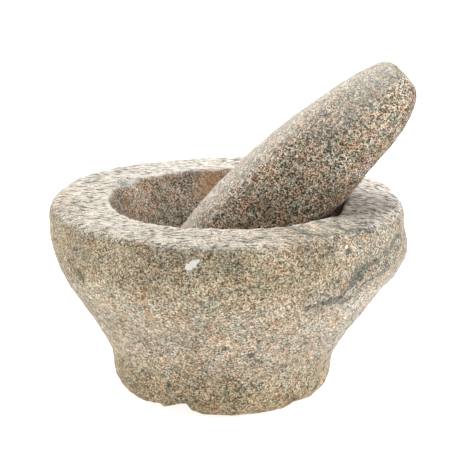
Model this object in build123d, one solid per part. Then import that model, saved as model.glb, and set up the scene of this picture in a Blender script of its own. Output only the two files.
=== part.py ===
"""Granite mortar and pestle: a thick carved bowl on a solid foot, with a club-shaped pestle leaning in it.

Millimetres, +Z up. The origin is on the bowl's axis, in the plane that the foot stands on, and the pestle
leans towards +X. The stones are carved by hand: the foot is a little off the bowl's axis, the flank keeps
a lump on one side, and the foot's lower edge is chipped.
"""

from build123d import *
from math import radians, tan
import os

# Mortar: outside.
HEIGHT = 112.0  # foot to rim
RIM_RADIUS = 99.8
RIM_ROUND = 8.0  # outer edge of the rim
SHOULDER_RADIUS = 98.6
SHOULDER_HEIGHT = 80.0  # where the flank turns up into the rim
SHOULDER_ROUND = 55.0
FLANK_LEAN = 33.2  # degrees between the flank and upright

# Mortar: foot.
FOOT_RADIUS = 60.5  # at the standing face, before its edge is rounded
FOOT_TOP_RADIUS = 63.2
FOOT_HEIGHT = 36.0  # up to inside the bowl's flank
FOOT_ROUND = 15.0
FOOT_SHIFT = -2.4  # how far the foot is off the bowl's axis
WAIST_ROUND = 12.0  # between the foot and the flank

# Mortar: the lump on the flank towards +X, a ring that stands out of the flank on that side only.
LUMP_SHIFT = 12.0  # how far the ring is off the bowl's axis
LUMP_RADIUS = 90.6
LUMP_HEIGHT = 84.0
LUMP_ROUND = 8.0
LUMP_BOTTOM = (77.0, 66.2)  # radius and height, inside the flank
LUMP_TOP = (86.3, 103.0)

# Mortar: chips broken off the foot's lower edge. Direction round the foot in degrees, distance from the
# foot's axis, height, and half the width, depth and height of the hollow.
FOOT_CHIPS = [
    (-116.0, 58.0, -1.5, 14.0, 23.0, 8.0),
    (-146.0, 58.0, -2.5, 15.0, 14.0, 7.0),
    (-40.0, 62.0, -4.0, 18.0, 14.0, 10.0),
    (75.0, 60.0, -3.0, 15.0, 12.0, 7.0),
]

# Bowl.
BOWL_DEPTH = 72.0
BOWL_FLOOR_ROUND = 52.0  # radius of the floor's curve
WALL_LEAN = 23.0  # degrees between the wall and upright
LIP_RADIUS = 67.0  # where the wall meets the rim's top
LIP_ROUND = 4.0  # wear on the bowl's inner edge

# Pestle.
PESTLE_LENGTH = 185.7
PESTLE_LEAN = 45.25  # degrees from upright, towards +X
PESTLE_TOP = (98.5, 0.0, 182.1)  # middle of its top end
PESTLE_FLAT = 8.0  # radius of the flat on its top end
# Radius of its side and the distance from its top end.
PESTLE_SIDE = [
    (12.7, 2.0),
    (16.0, 7.0),
    (20.8, 24.0),
    (26.6, 60.0),
    (29.0, 104.0),
    (25.8, 147.0),
    (18.5, 173.7),
    (9.5, 183.0),
]


def section(corners):
    """A face through corners of (radius, height, rounding), rounded at those that ask for it."""
    face = make_face(Polyline([(radius, height) for radius, height, rounding in corners], close=True))
    for radius, height, rounding in corners:
        if rounding:
            face = fillet(face.vertices().sort_by_distance((radius, height, 0))[0], rounding)
    return face


def turned(face):
    """A section of radius and height, turned round the upright axis."""
    return revolve(Plane.XZ * face, Axis.Z)


def bowl():
    """The bowl with its lip, leaning wall and round floor. Its flank runs down into the foot."""
    floor = HEIGHT - BOWL_DEPTH
    flank_foot = SHOULDER_RADIUS - (SHOULDER_HEIGHT - FOOT_ROUND) * tan(radians(FLANK_LEAN))
    return turned(section([
        (0.0, FOOT_ROUND, 0.0),
        (flank_foot, FOOT_ROUND, 0.0),
        (SHOULDER_RADIUS, SHOULDER_HEIGHT, SHOULDER_ROUND),
        (RIM_RADIUS, HEIGHT, RIM_ROUND),
        (LIP_RADIUS, HEIGHT, LIP_ROUND),
        (LIP_RADIUS - BOWL_DEPTH * tan(radians(WALL_LEAN)), floor, BOWL_FLOOR_ROUND),
        (0.0, floor, 0.0),
    ]))


def foot():
    """The foot, a little off the bowl's axis."""
    solid = turned(section([
        (0.0, 0.0, 0.0),
        (FOOT_RADIUS, 0.0, FOOT_ROUND),
        (FOOT_TOP_RADIUS, FOOT_HEIGHT, 0.0),
        (0.0, FOOT_HEIGHT, 0.0),
    ]))
    return Pos(FOOT_SHIFT, 0, 0) * solid


def lump():
    """The ring whose one side is the lump on the flank."""
    ring = turned(section([
        (*LUMP_BOTTOM, 0.0),
        (LUMP_RADIUS, LUMP_HEIGHT, LUMP_ROUND),
        (*LUMP_TOP, 0.0),
        (LUMP_BOTTOM[0], LUMP_TOP[1], 0.0),
    ]))
    return Pos(LUMP_SHIFT, 0, 0) * ring


def chip(angle, distance, height, width, depth, tall):
    """The hollow that one chip leaves in the foot's lower edge."""
    hollow = scale(Sphere(1.0), by=(depth, width, tall))
    return Pos(FOOT_SHIFT, 0, 0) * Rot(0, 0, angle) * Pos(distance, 0, height) * hollow


def mortar():
    """The bowl and its foot, one stone."""
    stone = bowl() + foot()
    waist = stone.edges().filter_by(GeomType.BSPLINE)
    stone = fillet(waist, WAIST_ROUND) + lump()
    for place in FOOT_CHIPS:
        stone -= chip(*place)
    return stone


def pestle():
    """The grinding stone, thickest past its middle, laid along its lean."""
    side = [(radius, -distance) for radius, distance in PESTLE_SIDE]
    tip = (0, -PESTLE_LENGTH)
    outline = [
        Line(tip, (0, 0)),
        Line((0, 0), (PESTLE_FLAT, 0)),
        Spline([(PESTLE_FLAT, 0)] + side + [tip]),
    ]
    return Pos(*PESTLE_TOP) * Rot(0, PESTLE_LEAN, 0) * turned(make_face(outline))


os.makedirs("parts", exist_ok=True)
export_step(mortar(), "parts/mortar.step")
export_step(pestle(), "parts/pestle.step")
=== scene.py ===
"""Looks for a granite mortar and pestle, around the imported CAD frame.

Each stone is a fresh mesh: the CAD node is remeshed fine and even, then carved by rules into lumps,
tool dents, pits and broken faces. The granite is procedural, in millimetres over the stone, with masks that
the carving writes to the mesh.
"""

import bpy
import numpy as np
from math import cos, radians, sin
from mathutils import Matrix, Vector, noise


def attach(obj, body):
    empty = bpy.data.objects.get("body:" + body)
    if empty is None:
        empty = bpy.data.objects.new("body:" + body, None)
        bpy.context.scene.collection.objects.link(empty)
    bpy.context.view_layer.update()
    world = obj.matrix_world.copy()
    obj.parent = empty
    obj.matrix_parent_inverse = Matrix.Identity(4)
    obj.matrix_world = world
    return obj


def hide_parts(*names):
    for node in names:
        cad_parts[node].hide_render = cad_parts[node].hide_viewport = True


MM = 0.001

# Mortar, in millimetres, as the CAD has it.
LIP_RADIUS = 67.0
BOWL_FLOOR = 40.0
LIP_CONTACT = (66.5, 0.0, 110.7)  # where the pestle leans on the lip
FLOOR_CONTACT = (-30.7, 0.0, 48.9)  # where its tip stands in the bowl
CONTACT_CLEAR = 16.0  # how far round both of these the carving fades out
RIM_EDGE = (97.0, 109.5)  # radius and height of the worn edge outside
LIP_EDGE = (67.8, 110.8)  # and inside
MORTAR_VOXEL = 1.29  # size of the visible mesh's faces

# Pestle.
PESTLE_TOP = (98.5, 0.0, 182.1)
PESTLE_LEAN = 45.25  # degrees from upright, towards +X
PESTLE_VOXEL = 0.7

# Stage. Places and sizes are in metres, and powers in watts.
FLOOR_HALF = 12.0
FLOOR_GREY = 0.6
FLOOR_GLOW = 0.83
ROOM_GLOW = 0.26
LIGHTS_TARGET = (0.0, 0.0, 0.1)
# Name, place, size and power of each soft light.
LIGHTS = [
    ("top", (-0.15, 0.45, 1.3), 1.0, 17.5),
    ("front", (0.2, -0.8, 1.3), 0.9, 2.2),
    ("back", (0.0, 2.2, 0.9), 2.4, 12.0),
    ("left", (-1.3, 0.2, 0.4), 0.7, 6.8),
    ("right", (1.2, -0.2, 0.6), 0.7, 12.5),
]

# Camera, in metres.
VIEW_DOWN = 15.7  # degrees
VIEW_DISTANCE = 1.4
VIEW_TARGET = (-0.001, 0.0, 0.096)
VIEW_WIDTH = 0.2543  # width of the picture at the target
SENSOR_WIDTH = 36.0  # in the camera's own millimetres

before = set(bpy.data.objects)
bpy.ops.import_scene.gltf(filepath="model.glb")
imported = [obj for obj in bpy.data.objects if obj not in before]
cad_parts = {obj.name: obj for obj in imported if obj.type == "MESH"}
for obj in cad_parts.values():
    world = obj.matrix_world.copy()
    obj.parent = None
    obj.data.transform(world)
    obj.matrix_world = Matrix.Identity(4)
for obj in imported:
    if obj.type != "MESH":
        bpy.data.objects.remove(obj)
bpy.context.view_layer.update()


# Maths on arrays of points.


def smooth(low, high, values):
    """0 at low, 1 at high and a smooth step between. low may be the higher one."""
    t = np.clip((values - low) / (high - low), 0.0, 1.0)
    return t * t * (3.0 - 2.0 * t)


def perlin(points, size, seed, squash=(1.0, 1.0, 1.0)):
    """Perlin noise from about -1 to 1 at each point, whose features are about size across."""
    shift = Vector((17.3 * seed, -9.1 * seed, 5.7 * seed))
    scaled = points / (size * np.array(squash))
    return np.array([noise.noise(Vector(p) + shift) for p in scaled.tolist()])


def pits(points, size, seed, share, radius):
    """1 in the middle of scattered round pits, one in a share of the cells of that size, and 0 outside."""
    shift = Vector((7.7 * seed, 3.3 * seed, -4.1 * seed))
    depth = np.zeros(len(points))
    for i, p in enumerate((points / size).tolist()):
        distances, centres = noise.voronoi(Vector(p) + shift)
        if noise.cell(centres[0] * 5.0) < share:
            depth[i] = max(0.0, 1.0 - (distances[0] * size / radius) ** 2)
    return depth


def near(points, centre, radius):
    """A soft bump, 1 at a centre and fading over a radius."""
    away = np.linalg.norm(points - np.array(centre), axis=1)
    return np.exp(-((away / radius) ** 2))


def near_ring(radius, height, ring, width):
    """A soft bump all round a level ring, which is given as its radius and height."""
    return np.exp(-(((radius - ring[0]) / width) ** 2) - (((height - ring[1]) / width) ** 2))


def along(points, path, width):
    """1 on a path of points and fading over a width on each side of it."""
    best = np.full(len(points), 1e9)
    for start, end in zip(path[:-1], path[1:]):
        a = np.array(start, float)
        run = np.array(end, float) - a
        t = np.clip((points - a) @ run / (run @ run), 0.0, 1.0)
        best = np.minimum(best, np.linalg.norm(points - a - t[:, None] * run, axis=1))
    return np.exp(-((best / width) ** 2))


def strongest(fields):
    """The largest of several fields at each point."""
    return np.max(np.stack(fields), axis=0)


def near_any(points, places):
    """Soft bumps at places that are given with their radius."""
    return strongest([near(points, place, size) for place, size in places])


# Meshes.


def remeshed(node, voxel, passes):
    """A new object with an even, fine mesh over a CAD node, smoothed a little."""
    piece = bpy.data.objects.new(node + "_stone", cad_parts[node].data.copy())
    bpy.context.scene.collection.objects.link(piece)
    remesh = piece.modifiers.new("even", "REMESH")
    remesh.mode = "VOXEL"
    remesh.voxel_size = voxel * MM
    remesh.use_smooth_shade = True
    relax = piece.modifiers.new("relax", "SMOOTH")
    relax.iterations = passes
    relax.factor = 0.5
    bpy.context.view_layer.update()
    mesh = bpy.data.meshes.new_from_object(piece.evaluated_get(bpy.context.evaluated_depsgraph_get()))
    piece.modifiers.clear()
    piece.data = mesh
    return piece


def points_of(mesh):
    """The mesh's points and their normals, in millimetres."""
    points = np.zeros(len(mesh.vertices) * 3)
    mesh.vertices.foreach_get("co", points)
    normals = np.zeros(len(mesh.vertices) * 3)
    mesh.vertex_normals.foreach_get("vector", normals)
    return points.reshape(-1, 3) / MM, normals.reshape(-1, 3)


def write_points(mesh, points):
    """Puts points in millimetres back into the mesh."""
    mesh.vertices.foreach_set("co", (points * MM).ravel())
    mesh.update()


def write_mask(mesh, name, values):
    """Keeps a number per point, for the material to read."""
    mask = mesh.attributes.new(name, "FLOAT", "POINT")
    mask.data.foreach_set("value", np.clip(values, 0.0, 1.0).astype(np.float32))


# Carving.

# Swells and hollows at certain places of the stones: place, radius and height, in millimetres.
MORTAR_FORM = [
    ((64.5, -19.0, 36.0), 13.0, -2.6),
    ((-63.0, -12.0, 31.0), 10.0, 1.0),
    ((92.0, -16.0, 73.0), 8.0, 2.4),
    ((62.0, -25.0, 110.0), 12.0, -2.6),
    ((-98.0, -5.0, 93.0), 20.0, 0.8),
    ((93.0, 16.0, 108.0), 12.0, -1.0),
]
PESTLE_FORM = [
    ((92.0, 0.0, 148.0), 14.0, 1.6),
    ((78.0, 0.0, 186.0), 10.0, -1.1),
]

# Flat faces where pieces broke off the mortar's edges: middle, which way the face looks, and radius.
LIP_BREAK = ((-59.5, 38.0, 110.0), (0.52, -0.34, 0.78), 11.0)
MORTAR_BREAKS = [
    LIP_BREAK,
    ((-30.0, -50.0, 7.6), (0.42, -0.10, -0.90), 12.0),
    ((-44.0, -40.0, 5.0), (0.0, -0.10, -0.99), 11.0),
    ((59.5, -32.0, 31.0), (0.80, -0.60, 0.10), 4.0),
]

# Grey seams in the stone, as they come out on its surface. Those of the flank have a strength each.
FLANK_VEINS = [
    (1.0, [
        (96, -26, 98), (92, -36, 99), (88, -45, 93), (81, -56, 92), (73, -66, 91),
        (67, -70, 82), (62, -72, 77), (56, -76, 75), (50, -80, 74), (43, -83, 73),
    ]),
    (0.8, [(95, -31, 92), (92, -38, 90), (85, -53, 84), (76, -61, 81), (62, -68, 71)]),
    (0.5, [(-96, -25, 96), (-89, -43, 95), (-86, -48, 89), (-80, -55, 83)]),
]
VEIN_KNOTS = [
    ((71.0, -68.0, 87.0), 6.5),
    ((88.0, -48.5, 93.0), 5.0),
    ((91.0, -44.0, 97.0), 4.0),
    ((-81.5, -55.5, 83.0), 6.5),
]
RIM_VEINS = [
    [
        (34, -62, 112), (38, -70, 112), (44, -77, 112), (52, -77, 112), (60, -72, 112),
        (68, -67, 112), (77, -59, 111),
    ],
    [(51, -51, 112), (55, -58, 112), (62, -63, 112), (68, -67, 112)],
]

# Where the rim is paler and where darker: place, radius and share. The pale place is painted light, which
# makes up for the pestle's shade on the rim's right side.
PAINTED_LIGHT_PLACES = [((99.0, 0.0, 111.0), 17.0, 1.0)]
# Places where the rim is darker.
DARKER_RIM_PLACES = [
    ((52.0, -76.0, 112.0), 32.0, 0.9),
    ((70.0, -42.0, 112.0), 16.0, 0.6),
    ((-92.0, -22.0, 110.0), 14.0, 0.45),
]

# Single grains and stains that stand out, white, orange and dark: place and radius.
WHITE_FLECKS = [
    ((-20.3, -98.0, 100.4), 2.2),
    ((-17.7, -98.0, 102.3), 2.4),
    ((-15.5, -98.0, 104.0), 1.7),
    ((-38.0, -91.0, 102.5), 0.9),
    ((-36.0, -92.0, 100.6), 0.9),
    ((-33.5, -93.0, 100.2), 0.9),
    ((-31.0, -94.0, 101.2), 0.9),
    ((64.0, -76.0, 105.0), 1.1),
]
ORANGE_FLECKS = [
    ((-41.5, -81.3, 68.6), 4.0),
    ((-45.0, -83.0, 76.0), 2.0),
    ((32.0, -66.0, 42.0), 1.8),
    ((-8.0, 65.0, 100.0), 15.0),
    ((-92.0, 9.0, 111.0), 5.0),
]
DARK_SPECKS = [
    ((-1.0, -77.0, 48.0), 2.4),
    ((13.0, -73.0, 43.0), 3.0),
    ((17.0, -74.0, 42.0), 1.8),
    ((17.0, -79.0, 53.0), 1.6),
    ((64.5, -74.8, 102.2), 2.8),
    ((-98.0, -12.0, 92.0), 3.0),
    ((58.0, -34.0, 32.0), 2.6),
]


def contact_room(points):
    """0 where the two stones stand on each other and 1 away from there, so that they keep clear."""
    room = np.ones(len(points))
    for place in (LIP_CONTACT, FLOOR_CONTACT):
        room *= 1.0 - near(points, place, CONTACT_CLEAR)
    return room


def add_form(form, points, places):
    """Adds swells and hollows at their places."""
    for place, size, amount in places:
        form += amount * near(points, place, size)


def break_edges(points, breaks):
    """Cuts the points back to slightly uneven flat faces, in place."""
    wobble = 0.8 * perlin(points, 3.5, 18)
    for middle, facing, reach in breaks:
        facing = np.array(facing) / np.linalg.norm(facing)
        away = points - np.array(middle)
        proud = away @ facing + wobble
        within = smooth(reach, 0.75 * reach, np.linalg.norm(away, axis=1))
        points -= facing * (np.maximum(proud, 0.0) * within)[:, None]


def carve_mortar():
    """The bowl: hand-cut form, tool dents, a rough rim and broken edges."""
    piece = remeshed("mortar", MORTAR_VOXEL, 4)
    mesh = piece.data
    points, normals = points_of(mesh)
    radius = np.hypot(points[:, 0], points[:, 1])
    height = points[:, 2]
    wander = 1.4 * perlin(points, 9.0, 21)
    rim = smooth(0.45, 0.8, normals[:, 2] + 0.12 * wander) * smooth(104.0, 107.0, height)
    inside = smooth(LIP_RADIUS + 1.0, LIP_RADIUS - 2.0, radius)
    inside *= smooth(BOWL_FLOOR - 4.0, BOWL_FLOOR - 1.0, height)
    foot = smooth(38.0, 6.0, height + 7.0 * wander) * (1.0 - inside)
    base = smooth(3.0, 0.5, height)

    form = 0.9 * perlin(points, 52.0, 1) + 0.45 * perlin(points, 24.0, 2)
    add_form(form, points, MORTAR_FORM)
    form += (0.9 + 0.8 * perlin(points, 14.0, 7)) * near_ring(radius, height, RIM_EDGE, 3.0)
    form += (0.7 + 0.5 * perlin(points, 6.0, 9)) * near_ring(radius, height, LIP_EDGE, 2.2)
    dents = (0.35 + 0.25 * rim + 0.20 * foot) * perlin(points, 10.0, 3)
    rough = (0.24 + 0.20 * foot) * perlin(points, 5.0, 4)
    rough += 0.30 * rim * perlin(points, 3.0, 10, squash=(2.4, 1.0, 1.0))
    fine = (0.18 + 0.20 * rim + 0.10 * foot) * perlin(points, 2.8, 5)
    holes = (0.45 - 0.25 * rim + 0.25 * foot) * pits(points, 7.0, 6, 0.4, 2.0)
    calm = contact_room(points) * (1.0 - 0.9 * base) * (1.0 - 0.5 * inside)
    relief = rough + fine - holes
    points += normals * ((form + dents + relief) * calm)[:, None]
    break_edges(points, MORTAR_BREAKS)
    points[:, 2] = np.maximum(points[:, 2], 0.0)
    write_points(mesh, points)
    areas = {"rim": rim, "inside": inside, "foot": foot}
    mark_mortar(mesh, points, radius, areas, wander)
    write_mask(mesh, "relief", 0.5 + relief / 1.6)
    return piece


def mark_mortar(mesh, points, radius, areas, wander):
    """Masks for the mortar's granite: its areas, their tints, its seams and its single grains."""
    rim, inside, foot = areas["rim"], areas["inside"], areas["foot"]
    height = points[:, 2]
    warped = points + 2.5 * np.stack([perlin(points, 7.0, seed) for seed in (31, 32, 33)], axis=1)
    veins = strongest([strength * along(warped, path, 2.6) for strength, path in FLANK_VEINS])
    knots = near_any(warped, VEIN_KNOTS)
    rim_veins = strongest([along(1.6 * warped - 0.6 * points, path, 3.1) for path in RIM_VEINS])
    broken = near(points, LIP_BREAK[0], 0.7 * LIP_BREAK[2])
    turned = smooth(35.0, 65.0, points[:, 0])
    behind = smooth(20.0, 75.0, points[:, 1])
    ahead = smooth(-50.0, -85.0, points[:, 1])
    # Painted light on the rim's right side, where the pestle's shade falls.
    dust_and_light_share = strongest([share * near(points, place, size) for place, size, share in PAINTED_LIGHT_PLACES])
    rim_darker = strongest([share * near(points, place, size) for place, size, share in DARKER_RIM_PLACES])
    # The rim's share of pale dust: paler towards the back and darker towards the front, with painted light on
    # the right side that makes up for the pestle's shade.
    dust_and_light_amount = 0.72 + 0.15 * turned + 0.28 * behind - 0.22 * ahead + dust_and_light_share
    write_mask(mesh, "rim", rim * (1.0 - broken))
    write_mask(mesh, "dust_and_light", rim * dust_and_light_amount * (1.0 - rim_darker))
    write_mask(mesh, "inside", inside)
    write_mask(mesh, "ash", smooth(25.0, 95.0, points[:, 0] + 8.0 * wander) * (1.0 - 0.8 * rim))
    write_mask(mesh, "turn", turned)
    write_mask(mesh, "foot", foot)
    write_mask(mesh, "band", smooth(70.0, 88.0, height + 6.0 * wander) * (1.0 - rim) * (1.0 - inside))
    # A pale lip, partly from wear and partly as a painted highlight along its ridge.
    write_mask(mesh, "lip", np.exp(-(((radius - 68.0) / 1.4) ** 2)) * smooth(108.0, 111.0, height))
    write_mask(mesh, "edge", smooth(7.0, 0.5, height + 3.0 * wander))
    write_mask(mesh, "vein", strongest([veins, knots, rim_veins, 0.66 * broken]))
    write_mask(mesh, "white", near_any(points, WHITE_FLECKS))
    write_mask(mesh, "dark", near_any(points, DARK_SPECKS))
    write_mask(mesh, "orange", near_any(points, ORANGE_FLECKS))


def carve_pestle():
    """The grinding stone: pecked all over, with a few pits."""
    piece = remeshed("pestle", PESTLE_VOXEL, 5)
    mesh = piece.data
    points, normals = points_of(mesh)
    lean = radians(PESTLE_LEAN)
    down = (points - np.array(PESTLE_TOP)) @ np.array([-sin(lean), 0.0, -cos(lean)])
    form = 0.6 * perlin(points, 40.0, 11) + 0.3 * perlin(points, 17.0, 12)
    add_form(form, points, PESTLE_FORM)
    relief = 0.26 * perlin(points, 4.5, 13) + 0.14 * perlin(points, 2.2, 14)
    relief -= 0.45 * pits(points, 7.0, 15, 0.35, 1.9)
    calm = contact_room(points)
    points += normals * ((form + 0.3 * perlin(points, 9.0, 16) + relief) * calm)[:, None]
    write_points(mesh, points)
    write_mask(mesh, "relief", 0.5 + relief / 1.2)
    upward = normals @ np.array([-cos(lean), 0.0, sin(lean)])
    # Pale near the top end from wear, and painted light along the whole up-facing side.
    worn_and_lit = smooth(70.0, 10.0, down + 6.0 * perlin(points, 20.0, 17)) * smooth(-0.2, 0.7, upward)
    worn_and_lit = np.maximum(worn_and_lit, smooth(0.65, 1.0, upward + 0.1 * perlin(points, 8.0, 19)))
    write_mask(mesh, "worn_and_lit", worn_and_lit)
    # Painted shade: darker on the down-facing side near the top end.
    write_mask(mesh, "underside_shade", smooth(0.0, 0.9, -upward) * smooth(130.0, 60.0, down))
    return piece


# Granite.


class Graph:
    """A short way to build a material's nodes."""

    def __init__(self, name):
        self.material = bpy.data.materials.new(name)
        self.material.use_nodes = True
        self.tree = self.material.node_tree
        self.tree.nodes.clear()

    def node(self, kind, inputs=None, **settings):
        """A node with its settings, whose inputs are numbers, colours or other nodes' outputs."""
        made = self.tree.nodes.new("ShaderNode" + kind)
        for key, value in settings.items():
            setattr(made, key, value)
        for key, value in (inputs or {}).items():
            if isinstance(value, bpy.types.NodeSocket):
                self.tree.links.new(value, made.inputs[key])
            else:
                made.inputs[key].default_value = value
        return made

    def mask(self, name):
        """A number that the carving left on the mesh."""
        return self.node("Attribute", attribute_name=name).outputs["Fac"]

    def maths(self, operation, a, b=0.0, c=0.0, clamp=False):
        """One sum of two or three numbers."""
        return self.node("Math", {0: a, 1: b, 2: c}, operation=operation, use_clamp=clamp).outputs[0]

    def noise(self, place, size, detail=2.0):
        """Noise from 0 to 1 whose features are about size across, in the units of place."""
        return self.node("TexNoise", {"Vector": place, "Scale": 1.0 / size, "Detail": detail}).outputs["Fac"]

    def ranged(self, value, low, high, to_low=0.0, to_high=1.0):
        """A number mapped smoothly from one range to another."""
        inputs = {"Value": value, "From Min": low, "From Max": high, "To Min": to_low, "To Max": to_high}
        return self.node("MapRange", inputs, interpolation_type="SMOOTHSTEP").outputs["Result"]

    def mix(self, share, a, b, blend="MIX"):
        """Two colours mixed by a share."""
        made = self.node("Mix", data_type="RGBA", blend_type=blend, clamp_factor=True)
        for key, value in ((0, share), (6, a), (7, b)):
            if isinstance(value, bpy.types.NodeSocket):
                self.tree.links.new(value, made.inputs[key])
            else:
                made.inputs[key].default_value = value if key == 0 else (*value, 1.0)
        return made.outputs[2]

    def steps(self, value, stops):
        """One flat colour for each range of a value."""
        made = self.node("ValToRGB", {"Fac": value})
        made.color_ramp.interpolation = "CONSTANT"
        elements = made.color_ramp.elements
        while len(elements) < len(stops):
            elements.new(0.5)
        for element, (position, colour) in zip(elements, stops):
            element.position = position
            element.color = (*colour, 1.0)
        return made.outputs["Color"]


# Grain colours, from the darkest, with the share of the grains that have each.
MORTAR_GRAINS = [
    (0.15, (0.090, 0.071, 0.047)),
    (0.22, (0.235, 0.192, 0.134)),
    (0.33, (0.445, 0.374, 0.276)),
    (0.30, (0.715, 0.638, 0.513)),
]
PESTLE_GRAINS = [
    (0.26, (0.055, 0.046, 0.032)),
    (0.23, (0.220, 0.182, 0.128)),
    (0.25, (0.535, 0.444, 0.327)),
    (0.26, (0.790, 0.715, 0.600)),
]
BLACK = (0.05, 0.05, 0.045)
# CREAM is the painted highlight on the carving's bumps.
CREAM = (0.70, 0.61, 0.475)
PINK_TINT = (1.0, 0.78, 0.66)
GREEN_TINT = (0.52, 0.60, 0.56)
ROSY_TINT = (1.0, 0.90, 0.82)
MOSSY_TINT = (0.85, 0.90, 0.89)
ORANGE = (0.60, 0.33, 0.16)
# Pale dust, also the colour of the painted light on the rim and the pestle and of the lip's painted
# highlight.
DUST_AND_HIGHLIGHT = (0.77, 0.73, 0.67)
WHITE = (0.86, 0.86, 0.80)
BLUE_GREY_TINT = (0.44, 0.51, 0.56)
UPPER_TINT = (0.87, 0.85, 0.77)
FOOT_TINT = (0.84, 0.79, 0.65)
INSIDE_TINT = (0.94, 0.91, 0.94)
ASH_TINT = (0.93, 0.96, 1.08)
EDGE_TINT = (1.0, 0.88, 0.74)
# The tint of the painted shade on the pestle's down-facing side.
UNDERSIDE_SHADE_TINT = (0.72, 0.68, 0.66)
RUSTY_TINT = (0.98, 0.88, 0.74)
MORTAR_TINTS = [("band", UPPER_TINT), ("foot", FOOT_TINT), ("inside", INSIDE_TINT), ("ash", ASH_TINT)]
STROKE_TURN = 0.55  # between the rim's tool strokes on the far left and on the right, in radians


def in_millimetres(g):
    """Where a point is on the stone, in millimetres."""
    place = g.node("TexCoord").outputs["Object"]
    return g.node("VectorMath", {0: place, "Scale": 1.0 / MM}, operation="SCALE").outputs[0]


def stirred(g, place):
    """Places moved a little to and fro, which makes the grains' outlines ragged."""
    stir = g.node("TexNoise", {"Vector": place, "Scale": 0.9, "Detail": 2.0}).outputs["Color"]
    stir = g.node("VectorMath", {0: stir, 1: (-0.5, -0.5, -0.5)}, operation="ADD").outputs[0]
    stir = g.node("VectorMath", {0: stir, "Scale": 1.2}, operation="SCALE").outputs[0]
    return g.node("VectorMath", {0: place, 1: stir}, operation="ADD").outputs[0]


def small_grains(g, place, warped, tones, crowding):
    """The small grains: their colour, the draw that gave it and the distance from each grain's middle.

    Dark and pale grains gather in clumps. crowding says how strongly.
    """
    grains = g.node("TexVoronoi", {"Vector": warped, "Scale": 1.45})
    pick = g.node("SeparateColor", {"Color": grains.outputs["Color"]}).outputs["Red"]
    drift = g.maths("MULTIPLY_ADD", g.noise(place, 6.0), 0.34, -0.17)
    pick = g.maths("ADD", pick, g.maths("MULTIPLY", drift, crowding), clamp=True)
    stops = []
    start = 0.0
    for share, tone in tones:
        stops.append((start, tone))
        start += share
    return g.steps(pick, stops), pick, grains.outputs["Distance"]


def large_grains(g, colour, warped, pink_from, flecks):
    """Larger grains over the small ones: pink from a place in the draw upwards, and green-grey."""
    grains = g.node("TexVoronoi", {"Vector": warped, "Scale": 0.5})
    pick = g.node("SeparateColor", {"Color": grains.outputs["Color"]}).outputs["Green"]
    pink = g.maths("MULTIPLY", g.ranged(pick, pink_from, pink_from + 0.02), flecks)
    green = g.maths("MULTIPLY", g.ranged(pick, 0.20, 0.18), flecks)
    colour = g.mix(pink, colour, PINK_TINT, "MULTIPLY")
    return g.mix(green, colour, GREEN_TINT, "MULTIPLY")


def clouded(g, colour, place):
    """Broad and fine variation of brightness, and rusty, rosy and mossy patches."""
    shade = g.maths("MULTIPLY_ADD", g.noise(place, 0.7, 1.0), 1.5, 0.25)
    clouds = g.maths("MULTIPLY_ADD", g.noise(place, 24.0), 0.8, 0.6)
    shade = g.maths("MULTIPLY", shade, clouds)
    shade = g.node("CombineColor", {"Red": shade, "Green": shade, "Blue": shade}).outputs["Color"]
    colour = g.mix(1.0, colour, shade, "MULTIPLY")
    rust = g.noise(place, 13.0, 3.0)
    blush = g.noise(place, 7.0, 3.0)
    colour = g.mix(g.ranged(rust, 0.50, 0.66, 0.0, 0.5), colour, RUSTY_TINT, "MULTIPLY")
    colour = g.mix(g.ranged(blush, 0.50, 0.65), colour, ROSY_TINT, "MULTIPLY")
    return g.mix(g.ranged(blush, 0.50, 0.35), colour, MOSSY_TINT, "MULTIPLY")


def hollow_shade_and_highlight(g, colour, relief, hollow_shade):
    """Painted shade in the carving's hollows and a painted highlight on its bumps."""
    hollow = g.maths("MULTIPLY", g.ranged(relief, 0.45, 0.15), hollow_shade)
    colour = g.mix(hollow, colour, BLACK)
    return g.mix(g.ranged(relief, 0.55, 0.85, 0.0, 0.2), colour, CREAM)


def tool_strokes(g, place):
    """Long strokes of the tool on the rim, which turn from its left side to its right."""
    strokes = []
    for angle in (0.0, STROKE_TURN):
        rotated = g.node("VectorRotate", {"Vector": place, "Angle": angle}, rotation_type="Z_AXIS")
        rotated = rotated.outputs[0]
        drawn = g.node("VectorMath", {0: rotated, 1: (0.25, 1.0, 1.0)}, operation="MULTIPLY").outputs[0]
        strokes.append(g.noise(drawn, 1.2, 2.5))
    ahead, across = strokes
    return g.maths("MULTIPLY_ADD", g.mask("turn"), g.maths("SUBTRACT", across, ahead), ahead)


def chiselled(g, colour, strokes, relief):
    """The rim: pale on what stands high, from dust and painted light, with painted shade in the grooves
    between, and a pale lip that is partly wear and partly a painted highlight.
    """
    high = g.maths("MULTIPLY_ADD", relief, 0.12, strokes)
    contrast = g.maths("MULTIPLY_ADD", g.mask("turn"), 0.5, 1.3)
    high = g.maths("MULTIPLY_ADD", g.maths("ADD", high, -0.56), contrast, 0.6)
    # Pale dust on what stands high, with painted light where the mask carries it.
    dust_and_light_share = g.maths("MULTIPLY", g.mask("dust_and_light"), g.ranged(high, 0.50, 0.72, 0.15, 0.95))
    # Painted shade in the grooves between the tool strokes.
    groove_shade = g.maths("MULTIPLY", g.mask("rim"), g.ranged(high, 0.56, 0.43, 0.0, 0.8))
    colour = g.mix(dust_and_light_share, colour, DUST_AND_HIGHLIGHT)
    colour = g.mix(groove_shade, colour, BLACK)
    # The lip: pale partly from wear and partly as a painted highlight.
    return g.mix(g.maths("MULTIPLY", g.mask("lip"), 0.35), colour, DUST_AND_HIGHLIGHT)


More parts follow.
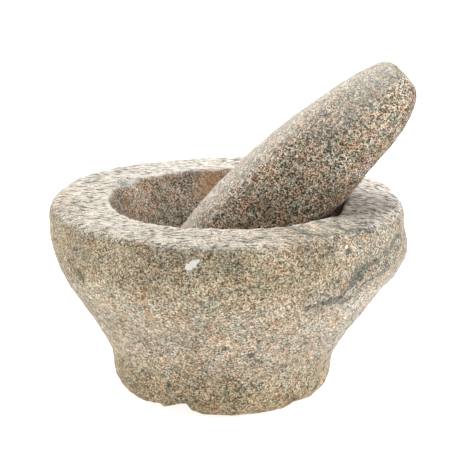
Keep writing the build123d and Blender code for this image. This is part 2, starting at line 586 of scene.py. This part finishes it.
def marked(g, colour, place):
    """Seams and single grains where the carving marked them, with ragged outlines."""
    ragged = g.noise(place, 1.2, 3.0)
    edge = g.maths("MULTIPLY_ADD", ragged, 0.8, -0.4)
    vein = g.ranged(g.maths("ADD", g.mask("vein"), edge), 0.35, 0.75, 0.0, 0.9)
    colour = g.mix(vein, colour, BLUE_GREY_TINT, "MULTIPLY")
    dark = g.ranged(g.maths("ADD", g.mask("dark"), edge), 0.45, 0.65, 0.0, 0.75)
    colour = g.mix(dark, colour, BLACK)
    orange = g.ranged(g.maths("ADD", g.mask("orange"), edge), 0.35, 0.85, 0.0, 0.65)
    orange = g.maths("MULTIPLY", orange, g.ranged(ragged, 0.35, 0.6, 0.2, 1.0))
    colour = g.mix(orange, colour, ORANGE)
    white = g.ranged(g.maths("ADD", g.mask("white"), edge), 0.40, 0.5, 0.0, 0.9)
    return g.mix(white, colour, WHITE)


def finished(g, colour, pick, bumps):
    """The shader over a colour. The darkest grains shine a little more than the others."""
    bump = g.node("Bump", {"Strength": 0.7, "Distance": 0.35 * MM, "Height": bumps}).outputs["Normal"]
    rough = g.ranged(pick, 0.0, 0.3, 0.55, 0.85)
    shader = g.node("BsdfPrincipled", {"Base Color": colour, "Roughness": rough, "Normal": bump})
    shader.inputs["Specular IOR Level"].default_value = 0.35
    g.node("OutputMaterial", {"Surface": shader.outputs[0]})
    return g.material


def mortar_granite():
    """The mortar's granite: its upper part, foot and bowl differ in tint, and the rim is chiselled."""
    g = Graph("mortar_granite")
    place = in_millimetres(g)
    warped = stirred(g, place)
    relief = g.mask("relief")
    crowding = g.maths("ADD", g.mask("foot"), 1.0)
    flecks = g.maths("MULTIPLY_ADD", g.mask("inside"), 0.4, 0.4)
    # How dark the painted shade in the carving's hollows is: more on the foot, less on the rim.
    hollow_shade = g.maths("MULTIPLY_ADD", g.mask("foot"), 0.35, 0.5)
    hollow_shade = g.maths("MULTIPLY_ADD", g.mask("rim"), -0.35, hollow_shade)
    colour, pick, distance = small_grains(g, place, warped, MORTAR_GRAINS, crowding)
    colour = large_grains(g, colour, warped, 0.80, flecks)
    colour = clouded(g, colour, place)
    # Painted shade in the hollows and a painted highlight on the bumps.
    colour = hollow_shade_and_highlight(g, colour, relief, hollow_shade)
    for mask, tint in MORTAR_TINTS:
        colour = g.mix(g.mask(mask), colour, tint, "MULTIPLY")
    strokes = tool_strokes(g, place)
    colour = chiselled(g, colour, strokes, relief)
    colour = g.mix(g.mask("edge"), colour, EDGE_TINT, "MULTIPLY")
    colour = marked(g, colour, place)
    bumps = g.maths("ADD", g.noise(place, 1.4, 3.0), distance)
    bumps = g.maths("MULTIPLY_ADD", g.mask("rim"), strokes, bumps)
    return finished(g, colour, pick, bumps)


def pestle_granite():
    """The pestle's granite: pale near its top end from wear, with painted light along its up-facing side and
    painted shade on its down-facing side.
    """
    g = Graph("pestle_granite")
    place = in_millimetres(g)
    warped = stirred(g, place)
    colour, pick, distance = small_grains(g, place, warped, PESTLE_GRAINS, 1.0)
    colour = large_grains(g, colour, warped, 0.72, 0.85)
    colour = clouded(g, colour, place)
    # Painted shade in the hollows and a painted highlight on the bumps.
    colour = hollow_shade_and_highlight(g, colour, g.mask("relief"), 0.5)
    # Pale from wear near the top, and painted light on the up-facing side.
    colour = g.mix(g.maths("MULTIPLY", g.mask("worn_and_lit"), 0.38), colour, DUST_AND_HIGHLIGHT)
    # Painted shade on the down-facing side.
    colour = g.mix(g.mask("underside_shade"), colour, UNDERSIDE_SHADE_TINT, "MULTIPLY")
    bumps = g.maths("ADD", g.noise(place, 1.4, 3.0), distance)
    return finished(g, colour, pick, bumps)


# Stage.


def floor():
    """A pale floor, wide enough to fill the view. It glows, so that it stays white round the foot."""
    mesh = bpy.data.meshes.new("floor")
    corners = [(FLOOR_HALF * x, FLOOR_HALF * y, 0) for x, y in ((-1, -1), (1, -1), (1, 1), (-1, 1))]
    mesh.from_pydata(corners, [], [(0, 1, 2, 3)])
    made = bpy.data.objects.new("floor", mesh)
    bpy.context.scene.collection.objects.link(made)
    g = Graph("floor_white")
    grey = (FLOOR_GREY, FLOOR_GREY, FLOOR_GREY, 1.0)
    shader = g.node("BsdfPrincipled", {"Base Color": grey, "Roughness": 0.9})
    shader.inputs["Emission Color"].default_value = (1.0, 1.0, 1.0, 1.0)
    shader.inputs["Emission Strength"].default_value = FLOOR_GLOW
    g.node("OutputMaterial", {"Surface": shader.outputs[0]})
    made.data.materials.append(g.material)


def area_light(name, place, size, power):
    """A square soft light at a place, aimed at the stones."""
    light = bpy.data.lights.new(name, "AREA")
    light.size = size
    light.energy = power
    made = bpy.data.objects.new(name, light)
    made.location = place
    made.rotation_euler = (Vector(LIGHTS_TARGET) - Vector(place)).to_track_quat("-Z", "Y").to_euler()
    bpy.context.scene.collection.objects.link(made)


def lights():
    """A white room, with soft lights all round and overhead."""
    world = bpy.data.worlds.new("room")
    bpy.context.scene.world = world
    world.use_nodes = True
    background = world.node_tree.nodes["Background"]
    background.inputs["Color"].default_value = (1.0, 1.0, 1.0, 1.0)
    background.inputs["Strength"].default_value = ROOM_GLOW
    for light in LIGHTS:
        area_light(*light)


def camera():
    """A long lens in front of the stones, looking a little down."""
    lens = bpy.data.cameras.new("camera")
    lens.sensor_width = SENSOR_WIDTH
    lens.lens = lens.sensor_width * VIEW_DISTANCE / VIEW_WIDTH
    made = bpy.data.objects.new("camera", lens)
    down = radians(VIEW_DOWN)
    back = Vector((0.0, -cos(down), sin(down)))
    made.location = Vector(VIEW_TARGET) + back * VIEW_DISTANCE
    made.rotation_euler = (-back).to_track_quat("-Z", "Y").to_euler()
    bpy.context.scene.collection.objects.link(made)
    bpy.context.scene.camera = made


def dress(piece, node, material):
    """Gives a piece its stone and lets it stand for its CAD node."""
    piece.data.materials.clear()
    piece.data.materials.append(material)
    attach(piece, node)
    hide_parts(node)


dress(carve_mortar(), "mortar", mortar_granite())
dress(carve_pestle(), "pestle", pestle_granite())
floor()
lights()
camera()
bpy.context.scene.view_settings.view_transform = "Standard"
